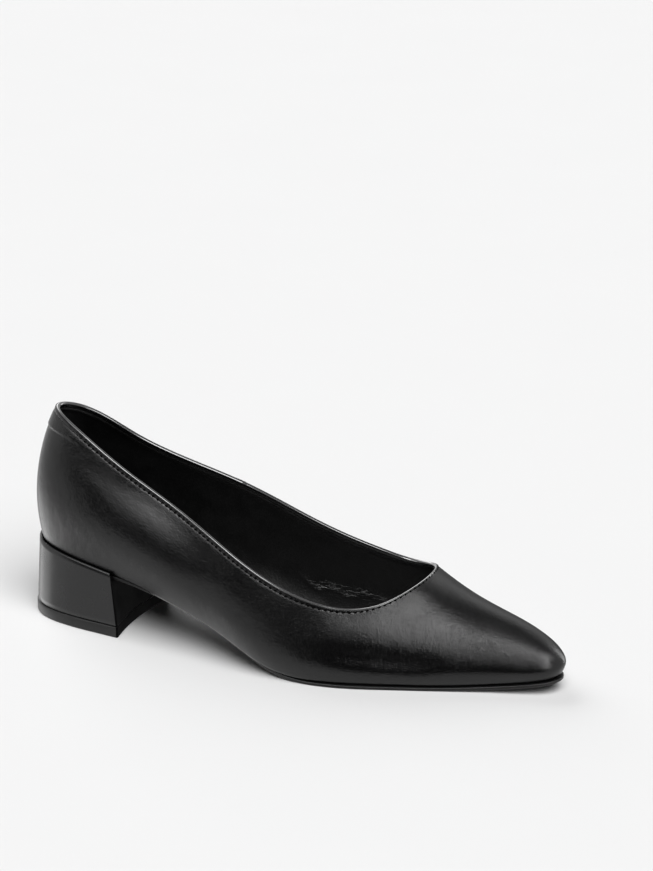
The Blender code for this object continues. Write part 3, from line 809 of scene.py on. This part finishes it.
def ring(plan, height):
    """A line in plan set at one height, or at a height for each point."""
    return np.column_stack([plan, np.broadcast_to(height, len(plan))])


def plate_cap(line):
    """A grid from side to side over a closed line round the last."""
    half = len(line) // 2
    lateral = line[: half + 1]
    medial = np.concatenate([line[:1], line[: half - 1 : -1]])
    across = np.linspace(0, 1, PLATE_ACROSS + 1)[None, :, None]
    return lateral[:, None] * (1 - across) + medial[:, None] * across


INSOLE_DISH = 0.9  # how far the sock is trodden in along its middle
SOCK_EDGE = 0.5  # rounding of the sock's edge
SOCK_BEVEL = 0.3 * SOCK_EDGE  # how far the middle of the rounding is from both its faces


def insole_surfaces():
    """The insole with its sock, dished along the middle, its edge rounded over."""
    top_edge_in = WALL + 2 * GAP
    profile = (
        (INSOLE_FOOT, 0.0),
        (top_edge_in, INSOLE_THICKNESS - SOCK_EDGE),
        (top_edge_in + SOCK_BEVEL, INSOLE_THICKNESS - SOCK_BEVEL),
        (top_edge_in + SOCK_EDGE, INSOLE_THICKNESS),
    )
    rings = []
    for edge, lift in profile:
        plan = moved_in(loop_places(), edge)
        rings.append(ring(plan, bottom(plan[:, 0]) + WALL + GAP + lift))
    surfaces = Surfaces()
    surfaces.grid(rings, wrap_points=True)
    surfaces.grid(plate_cap(rings[0]))
    sock = plate_cap(rings[-1])
    dish = INSOLE_DISH * (1 - np.linspace(-1, 1, PLATE_ACROSS + 1) ** 2)
    sock[..., 2] = bottom(sock[..., 0]) + WALL + GAP + INSOLE_THICKNESS - dish
    surfaces.grid(sock)
    return surfaces


# Section of the outsole's edge: in from its outline, and up from its underside
SOLE_SECTION = (
    (0.50, 0.00),
    (0.22, 0.07),
    (0.05, 0.24),
    (0.00, 0.50),
    (0.00, 1.15),
    (0.05, 1.36),
    (0.18, 1.46),
    (0.40, 1.50),
)


def outsole_surfaces():
    """The outsole, from the toe over the arch to the heel seat, with rounded edges."""
    place = loop_places()
    edge = sole_edge(place)
    rings = []
    for inset, up in SOLE_SECTION:
        plan = moved_out(place, edge - inset)
        rings.append(ring(plan, bottom(plan[:, 0]) - GAP - SOLE_THICKNESS + up))
    surfaces = Surfaces()
    surfaces.grid(rings, wrap_points=True)
    for line, thickness in ((rings[0], SOLE_THICKNESS), (rings[-1], 0.0)):
        cap = plate_cap(line)
        cap[..., 2] = bottom(cap[..., 0]) - GAP - thickness
        surfaces.grid(cap)
    return surfaces


# Heel and top piece

HEEL_COLUMNS = 70  # each side of the heel, back to breast
BREAST_COLUMNS = 50
CORNER_POINTS = 7
# First and last point of the breast and its rounded corners in the heel's plan
BREAST_FIRST = HEEL_COLUMNS + 1
BREAST_LAST = BREAST_FIRST + 2 * CORNER_POINTS + BREAST_COLUMNS + 1


def heel_loop(out_back, out_side, forward, inset=0.0):
    """Plan of the heel from its back: along its outer side, its hollow breast and its inner side."""
    breast_x = SEAT_LENGTH + forward - inset
    sides = []
    for side in SIDES:
        corner = float(place_at(side, breast_x))
        shares = np.linspace(0, corner, HEEL_COLUMNS + 1)
        out = out_back + (out_side - out_back) * smooth_step(shares / corner) - inset
        sides.append(moved_out(place_on(side, shares), out))
    lateral, medial = sides
    across = np.linspace(0, 1, BREAST_COLUMNS + 1)[:, None]
    breast = lateral[-1] + (medial[-1] - lateral[-1]) * across
    breast[:, 0] -= BREAST_HOLLOW * (1 - (2 * across[:, 0] - 1) ** 2)
    return rounded_join([lateral, breast, medial[::-1]], HEEL_CORNER)


def rounded_join(lines, radius):
    """Three lines joined into a loop, with both corners between them cut back and rounded."""
    cuts = ((0.0, radius), (radius, radius), (radius, 0.0))
    shortened = [shorten(line, *cut) for line, cut in zip(lines, cuts)]
    loop = [shortened[0]]
    for before, line, after in zip(lines, shortened, shortened[1:]):
        t = np.linspace(0, 1, CORNER_POINTS + 2)[1:-1, None]
        loop.append(bezier([line[-1], before[-1], after[0]], t))
        loop.append(after)
    return np.concatenate(loop)[:-1]


def shorten(line, start, end):
    """A line cut back by a length at its start and its end, with as many points as before."""
    length = lengths_along(line)
    where = np.linspace(start, length[-1] - end, len(line))
    return np.stack([np.interp(where, length, line[:, i]) for i in range(2)], axis=-1)


def seat_height(x):
    """Underside of the outsole at the heel seat, less the gap."""
    return HEEL_SEAT - SEAT_FALL * x - 2 * GAP - SOLE_THICKNESS


def rim_lift(loop):
    """How far the heel's edge rises round the outsole's seat: along the sides, not at the breast."""
    lift = HEEL_RIM + (BREAST_RIM - HEEL_RIM) * loop[:, 0] / SEAT_LENGTH
    order = np.arange(len(loop))
    into = np.minimum(order - BREAST_FIRST, BREAST_LAST - order) / CORNER_POINTS
    return lift * (1 - smooth_step(into))


def block(rings):
    """Rings of the heel's plan joined, with flat ends. The breast has the second material, a painted shade.
    """
    surfaces = Surfaces()
    surfaces.grid(np.concatenate([rings[:, BREAST_LAST:], rings[:, : BREAST_FIRST + 1]], axis=1), 0)
    surfaces.grid(rings[:, BREAST_FIRST : BREAST_LAST + 1], 1)
    surfaces.face(rings[0])
    surfaces.face(rings[-1])
    return surfaces


HEEL_ROWS = 14  # up the heel's side
HEEL_EDGE = 0.35  # rounding of the heel's upper and lower edges


def heel_surfaces():
    """The heel block: hollow breast, flared foot, rounded edges and a rim round the outsole's seat."""
    foot, foot_inner = (heel_loop(*FOOT_PLAN, inset) for inset in (0.0, HEEL_EDGE))
    rim, shoulder, rim_inner = (heel_loop(*RIM_PLAN, inset) for inset in (0.0, HEEL_EDGE, RIM_WIDTH))
    lift = rim_lift(rim)
    low = TOP_PIECE + GAP
    high = seat_height(rim[:, 0]) + lift
    rings = [ring(foot_inner, low)]
    for t in np.linspace(0, 1, HEEL_ROWS):
        height = low + HEEL_EDGE + (high - 2 * HEEL_EDGE - low) * t
        rings.append(ring(foot + (rim - foot) * t, height))
    seat = seat_height(rim_inner[:, 0])
    rings += [ring(shoulder, high), ring(rim_inner, seat + lift), ring(rim_inner, seat)]
    return block(np.array(rings))


# Section of the top piece's edge: in from its outline, and up from the floor
TOP_PIECE_SECTION = (
    (0.55, 0.00),
    (0.22, 0.10),
    (0.05, 0.32),
    (0.00, 0.70),
    (0.00, 4.70),
    (0.08, 5.05),
    (0.30, 5.20),
)


def top_piece_surfaces():
    """The top piece: the wearing plate under the heel, with a worn-in edge."""
    plan = [out + TOP_PIECE_LIP for out in FOOT_PLAN]
    return block(np.array([ring(heel_loop(*plan, inset), up) for inset, up in TOP_PIECE_SECTION]))


# Materials

# dark and pale are a finish's greys, each with its blue, and smooth and rough the ends of its roughness.
# strength and depth are those of its bumps, in millimetres, and specular is the shader's specular level.
Finish = namedtuple("Finish", "dark pale smooth rough strength depth specular")
UPPER = Finish((0.0006, 0.0007), (0.0034, 0.0035), 0.19, 0.23, 1.0, 0.10, 0.5)
LINING = Finish((0.0010, 0.0010), (0.0022, 0.0022), 0.34, 0.42, 1.0, 1.0, 0.6)
BINDING = Finish((0.0030, 0.0032), (0.0060, 0.0063), 0.16, 0.22, 0.25, 0.03, 0.5)
SOCK = Finish((0.020, 0.020), (0.034, 0.034), 0.42, 0.52, 0.6, 0.2, 0.5)
HEEL_COVER = Finish((0.0035, 0.0037), (0.0060, 0.0063), 0.22, 0.29, 0.25, 0.03, 0.6)
# The heel breast's finish is painted shade: darker and all but unreflecting, standing in for the shaded floor
# under the arch.
BREAST_PAINTED_SHADE = Finish((0.0015, 0.0016), (0.0030, 0.0031), 0.55, 0.68, 0.5, 0.05, 0.015)
SOLE_RUBBER = Finish((0.003, 0.003), (0.006, 0.006), 0.40, 0.52, 0.5, 0.06, 0.5)
TOP_RUBBER = Finish((0.004, 0.004), (0.008, 0.008), 0.40, 0.52, 0.5, 0.06, 0.5)
THREAD = Finish((0.0008, 0.0008), (0.0020, 0.0020), 0.60, 0.75, 0.6, 0.06, 0.03)
NOISE_MIDDLE = (0.3, 0.7)  # range of a noise that is spread over the roughness


def connect(tree, value, socket):
    """Sets a socket to a number, or links another socket to it."""
    if isinstance(value, bpy.types.NodeSocket):
        tree.links.new(value, socket)
    else:
        socket.default_value = value


def feed(tree, node, **inputs):
    """Sets or links a node's inputs. An input's name has _ for each space."""
    for name, value in inputs.items():
        connect(tree, value, node.inputs[name.replace("_", " ")])


def add(tree, kind, settings=None, **inputs):
    """A node with its settings and inputs."""
    node = tree.nodes.new(kind)
    for name, value in (settings or {}).items():
        setattr(node, name, value)
    feed(tree, node, **inputs)
    return node


def calculate(tree, operation, *values, kind="ShaderNodeMath"):
    node = add(tree, kind, {"operation": operation})
    for value, socket in zip(values, node.inputs):
        connect(tree, value, socket)
    return node.outputs["Value"]


def remap(tree, value, ends, to):
    """A value's range moved to another, eased at both ends."""
    node = add(tree, "ShaderNodeMapRange", {"interpolation_type": "SMOOTHSTEP"}, Value=value)
    feed(tree, node, From_Min=ends[0], From_Max=ends[1], To_Min=to[0], To_Max=to[1])
    return node.outputs["Result"]


# A material with its tree, its shader and the place on the object
Look = namedtuple("Look", "material tree shader where")


def new_look(name):
    material = bpy.data.materials.new(name)
    material.use_nodes = True
    tree = material.node_tree
    where = add(tree, "ShaderNodeTexCoord").outputs["Object"]
    return Look(material, tree, tree.nodes["Principled BSDF"], where)


def noise(look, size, detail, roughness=0.5, stretch=(1, 1, 1)):
    """Soft noise with blotches of a size in millimetres."""
    vector = add(look.tree, "ShaderNodeMapping", Vector=look.where, Scale=stretch).outputs[0]
    node = add(look.tree, "ShaderNodeTexNoise", Vector=vector, Scale=1 / (size * MM))
    feed(look.tree, node, Detail=detail, Roughness=roughness)
    return node.outputs["Fac"]


def between(look, share, dark, pale):
    """A colour between two greys, each with its blue, by a share."""
    low, high = ((grey, grey, blue, 1) for grey, blue in (dark, pale))
    node = add(look.tree, "ShaderNodeMix", {"data_type": "RGBA"}, Factor=share, A=low, B=high)
    return node.outputs["Result"]


def dress(look, finish, shade, gloss, height):
    """The material in its finish, with noises for its shade, its gloss and the height of its bumps."""
    tree = look.tree
    bump = add(tree, "ShaderNodeBump", Height=height, Strength=finish.strength, Distance=finish.depth * MM)
    feed(
        tree,
        look.shader,
        Base_Color=between(look, shade, finish.dark, finish.pale),
        Roughness=remap(tree, gloss, NOISE_MIDDLE, (finish.smooth, finish.rough)),
        Normal=bump.outputs[0],
        Specular_IOR_Level=finish.specular,
    )
    return look.material


PORES = (0.35, 0.65)  # range of the noise from the dark pores to the pale grain
UNEVEN = 1.5  # soft unevenness against the pores
GRAIN = 0.6  # middle grain against the pores


def upper_leather():
    """Smooth black leather: fine grain, soft unevenness and a satin gloss in patches."""
    look = new_look("upper_leather")
    patches = noise(look, size=14, detail=3)
    pores = noise(look, size=0.5, detail=1)
    uneven = calculate(look.tree, "MULTIPLY_ADD", noise(look, size=5, detail=2), UNEVEN, pores)
    grain = calculate(look.tree, "MULTIPLY_ADD", noise(look, size=0.9, detail=1), GRAIN, uneven)
    return dress(look, UPPER, remap(look.tree, pores, PORES, (0, 1)), patches, grain)


# Strip of small creases in the lining, on the inner side: x and z of its ends in the last's frame
CREASED_FROM = (122.0, 21.4)
CREASED_TO = (161.0, 14.6)
CREASED_SPREAD = 6.5  # to both sides of the line between them
CREASED_FULL = 0.25  # from its middle to where the creases start to fade, as a share of its length
CREASED_END = 0.6  # and to where they have faded out
CREASED_INNER = 0.01  # from the middle of the shoe to where they are full, in metres
CREASED_DEPTH = 2.2
FURROW_WIDTH = 0.07  # of the noise's range
LINING_GRAIN = 0.15


def creased_strip(look):
    """One on the strip of small creases, falling to zero round it."""
    tree = look.tree
    place = add(tree, "ShaderNodeSeparateXYZ", Vector=look.where).outputs
    x = calculate(tree, "MULTIPLY_ADD", place["X"], 1 / MM, -float(SHIFT[0]) - CREASED_FROM[0])
    z = calculate(tree, "MULTIPLY_ADD", place["Z"], 1 / MM, -float(SHIFT[2]) - CREASED_FROM[1])
    length = CREASED_TO[0] - CREASED_FROM[0]
    fall = (CREASED_TO[1] - CREASED_FROM[1]) / length
    off = calculate(tree, "ABSOLUTE", calculate(tree, "MULTIPLY_ADD", x, -fall, z))
    end = calculate(tree, "ABSOLUTE", calculate(tree, "SUBTRACT", x, length / 2))
    strip = remap(tree, place["Y"], (0, CREASED_INNER), (0, 1))
    for far, ends in ((off, (0, CREASED_SPREAD)), (end, (CREASED_FULL * length, CREASED_END * length))):
        strip = calculate(tree, "MULTIPLY", strip, remap(tree, far, ends, (1, 0)))
    return strip


def lining_leather():
    """Soft black lining leather, duller than the upper, with small creases on the inner side."""
    look = new_look("lining_leather")
    tree = look.tree
    patches = noise(look, size=9, detail=3)
    long_noise = noise(look, size=3.2, detail=3, roughness=0.6, stretch=(0.35, 1, 1.5))
    fold = calculate(tree, "ABSOLUTE", calculate(tree, "SUBTRACT", long_noise, 0.5))
    furrow = calculate(tree, "MINIMUM", fold, FURROW_WIDTH)
    folds = calculate(tree, "MULTIPLY", furrow, creased_strip(look))
    fine = calculate(tree, "MULTIPLY", noise(look, size=0.9, detail=3), LINING_GRAIN)
    height = calculate(tree, "MULTIPLY_ADD", folds, CREASED_DEPTH, fine)
    return dress(look, LINING, patches, patches, height)


def binding_leather():
    """The binding's leather, stretched smooth over the fold and polished there."""
    look = new_look("binding_leather")
    feed(look.tree, look.shader, Coat_Weight=1.0, Coat_IOR=1.8, Coat_Roughness=0.12)
    patches = noise(look, size=5, detail=2)
    return dress(look, BINDING, patches, patches, noise(look, size=0.5, detail=2))


SOCK_PEBBLE = 0.8  # size of a cell of the sock's grain, in millimetres
SOCK_CELL = 0.25  # width of the furrow round a cell of the sock's grain, as a share of the cell
SOCK_GRAIN = 0.35  # the cells' relief against the wrinkles


def sock_leather():
    """The sock on the insole: matt black leather with a fine grain and soft wear."""
    look = new_look("sock_leather")
    tree = look.tree
    patches = noise(look, size=16, detail=3)
    cells = add(tree, "ShaderNodeTexVoronoi", {"feature": "DISTANCE_TO_EDGE"}, Vector=look.where)
    feed(tree, cells, Scale=1 / (SOCK_PEBBLE * MM))
    pebbles = remap(tree, cells.outputs["Distance"], (0, SOCK_CELL), (0, 1))
    wrinkles = noise(look, size=3.0, detail=4, roughness=0.6, stretch=(1, 2, 1))
    grain = calculate(tree, "MULTIPLY_ADD", pebbles, SOCK_GRAIN, wrinkles)
    return dress(look, SOCK, patches, patches, grain)


def heel_cover():
    """The heel's smooth black cover, satin with a faint unevenness."""
    look = new_look("heel_cover")
    patches = noise(look, size=11, detail=3)
    return dress(look, HEEL_COVER, patches, patches, noise(look, size=3.5, detail=2))


def breast_painted_shade():
    """The front of the heel and its top piece, darker and all but unreflecting: painted shade for the shaded
    floor under the arch that it faces.
    """
    look = new_look("breast_painted_shade")
    patches = noise(look, size=6, detail=3)
    return dress(look, BREAST_PAINTED_SHADE, patches, patches, noise(look, size=0.8, detail=2))


def rubber(name, finish, speck):
    """Black rubber with a fine moulded roughness of specks of a size."""
    look = new_look(name)
    specks = noise(look, size=speck, detail=3)
    return dress(look, finish, noise(look, size=8, detail=4), specks, specks)


def thread():
    """Black waxed thread with its twist."""
    look = new_look("thread")
    strands = noise(look, size=0.35, detail=2)
    return dress(look, THREAD, strands, strands, strands)


# Stage, light and camera

FLOOR_HALF = 6.0  # metres
FLOOR_DARK = (0.760, 0.761)  # grey and blue
FLOOR_PALE = (0.770, 0.771)
FLOOR_ROUGHNESS = 0.9
BACKDROP = 0.93  # brightness of the plain background


def floor():
    """A plain pale floor, kept out of the gloss, where the light cards stand for it."""
    data = bpy.data.meshes.new("floor")
    corners = [(sx * FLOOR_HALF, sy * FLOOR_HALF, 0.0) for sx, sy in ((-1, -1), (1, -1), (1, 1), (-1, 1))]
    data.from_pydata(corners, [], [(0, 1, 2, 3)])
    made = put("floor", data)
    look = new_look("floor_paper")
    colour = between(look, noise(look, size=90, detail=2), FLOOR_DARK, FLOOR_PALE)
    feed(look.tree, look.shader, Base_Color=colour, Roughness=FLOOR_ROUGHNESS, Specular_IOR_Level=0.0)
    data.materials.append(look.material)
    made.visible_glossy = False


# Soft light cards far round the shoe, and black flags with a strength below zero. azimuth is from the
# shoe's outer side towards its toe and elevation over the floor, in degrees. wide and high are half the
# card's angles and edge the angle over which it fades.
AMBIENT = 0.72
CARDS = table(
    "name azimuth elevation wide high edge strength",
    ("key", 38, 27, 5, 30, 4, 6.0),
    ("key_right", 62, 53, 14, 6, 6, 5.0),
    ("left", -97, -27, 20, 9, 10, 1.65),
    ("side_glow", -24, 23, 20, 8, 7, 0.95),
    ("edge_light", -12, 52, 9, 16, 5, 8.0),
    ("inside_light", -36, 42, 12, 8, 8, 4.0),
    ("back_light", -140, 30, 12, 22, 8, 2.5),
    ("inner_key", 148, 14, 7, 24, 10, 3.2),
    ("front_flag", 18, -8, 21, 23, 11, -0.8),
    ("side_flag", -9, -9, 4, 22, 7, -0.9),
    ("horizon_flag", -33, 5, 19, 12, 4, -1.2),
    ("top_flag", 125, 70, 43, 10, 26, -0.62),
    ("inner_flag", 185, -6, 20, 18, 16, -0.55),
)
LEAST_FORWARD = 0.001  # keeps a card from lighting what is behind it


def aim(azimuth, elevation):
    """Unit direction towards an azimuth and elevation."""
    a, e = np.radians([azimuth, elevation])
    return np.array([np.sin(a) * np.cos(e), -np.cos(a) * np.cos(e), np.sin(e)])


def look_along(made, direction):
    """Turns a lamp or a camera to a direction."""
    made.rotation_euler = Vector(direction).to_track_quat("-Z", "Y").to_euler()


def dot(tree, vector, direction):
    return calculate(tree, "DOT_PRODUCT", vector, direction, kind="ShaderNodeVectorMath")


def card_light(tree, direction, card):
    """Brightness of one card in a direction, fading across its edges."""
    ahead = aim(card.azimuth, card.elevation)
    across = aim(card.azimuth + 90, 0)
    upward = np.cross(across, ahead)
    forward = calculate(tree, "MAXIMUM", dot(tree, direction, ahead), LEAST_FORWARD)
    light = card.strength
    for axis, half in ((across, card.wide), (upward, card.high)):
        off = calculate(tree, "ABSOLUTE", calculate(tree, "DIVIDE", dot(tree, direction, axis), forward))
        angle = calculate(tree, "ARCTANGENT", off)
        ends = np.radians([half - card.edge / 2, half + card.edge / 2])
        light = calculate(tree, "MULTIPLY", remap(tree, angle, ends, (1, 0)), light)
    return light


def studio():
    """Soft studio light from the cards all round, and a plain backdrop."""
    world = bpy.data.worlds.new("studio")
    bpy.context.scene.world = world
    world.use_nodes = True
    tree = world.node_tree
    direction = add(tree, "ShaderNodeTexCoord").outputs["Generated"]
    total = AMBIENT
    for card in CARDS:
        total = calculate(tree, "ADD", card_light(tree, direction, card), total)
    light = calculate(tree, "MAXIMUM", total, 0.0)
    seen = add(tree, "ShaderNodeLightPath").outputs["Is Camera Ray"]
    backdrop = add(tree, "ShaderNodeMix", {"data_type": "FLOAT"}, Factor=seen, A=light, B=BACKDROP)
    feed(tree, tree.nodes["Background"], Color=(1, 1, 1, 1), Strength=backdrop.outputs["Result"])
    world.cycles_visibility.diffuse = False


# Wide soft lamps over the table, out of sight of the gloss. angle is how wide each one looks from the shoe.
LAMPS = table(
    "name azimuth elevation angle strength",
    ("main", 40, 55, 50, 3.65),
    ("back", -120, 35, 50, 1.4),
)


def lamps():
    for lamp in LAMPS:
        data = bpy.data.lights.new(lamp.name, "SUN")
        data.energy = lamp.strength
        data.angle = np.radians(lamp.angle)
        made = put(lamp.name, data)
        look_along(made, -aim(lamp.azimuth, lamp.elevation))
        made.visible_glossy = False


# Camera of the photograph: it looks at a point of the last's frame from an azimuth and elevation
IMAGE_WIDTH = 653  # pixels
CAMERA_AZIMUTH = 23.21  # degrees
CAMERA_ELEVATION = 19.51
CAMERA_DISTANCE = 1250.5
CAMERA_TARGET = (142.86, 0.0, 103.22)
FOCAL_LENGTH = 2823.7  # pixels
SENSOR_WIDTH = 36.0


def camera():
    """The camera at the photograph's place."""
    data = bpy.data.cameras.new("camera")
    data.sensor_fit = "HORIZONTAL"
    data.sensor_width = SENSOR_WIDTH
    data.lens = FOCAL_LENGTH * SENSOR_WIDTH / IMAGE_WIDTH
    made = put("camera", data)
    back = aim(CAMERA_AZIMUTH, CAMERA_ELEVATION)
    made.location = Vector((np.array(CAMERA_TARGET) + SHIFT + back * CAMERA_DISTANCE) * MM)
    look_along(made, -back)
    bpy.context.scene.camera = made


# The shoe

SHIFT = frame_shift()
WALLS = {side: Wall(side) for side in SIDES}

make("upper_dressed", upper_surfaces(WALLS), (upper_leather(), lining_leather()), "upper")
make("binding_dressed", binding_surfaces(WALLS), (binding_leather(),), "topline_binding")
make("topline_stitches", stitch_surfaces(WALLS), (thread(),), None)
make("insole_dressed", insole_surfaces(), (sock_leather(),), "insole")
sole_rubber = rubber("sole_rubber", SOLE_RUBBER, speck=0.7)
make("outsole_dressed", outsole_surfaces(), (sole_rubber,), "outsole")
# Painted shade on the fronts of the heel and the top piece
breast = breast_painted_shade()
make("heel_dressed", heel_surfaces(), (heel_cover(), breast), "heel")
top_rubber = rubber("top_piece_rubber", TOP_RUBBER, speck=0.5)
make("top_piece_dressed", top_piece_surfaces(), (top_rubber, breast), "top_piece")

floor()
studio()
lamps()
camera()
bpy.context.scene.view_settings.view_transform = "Standard"
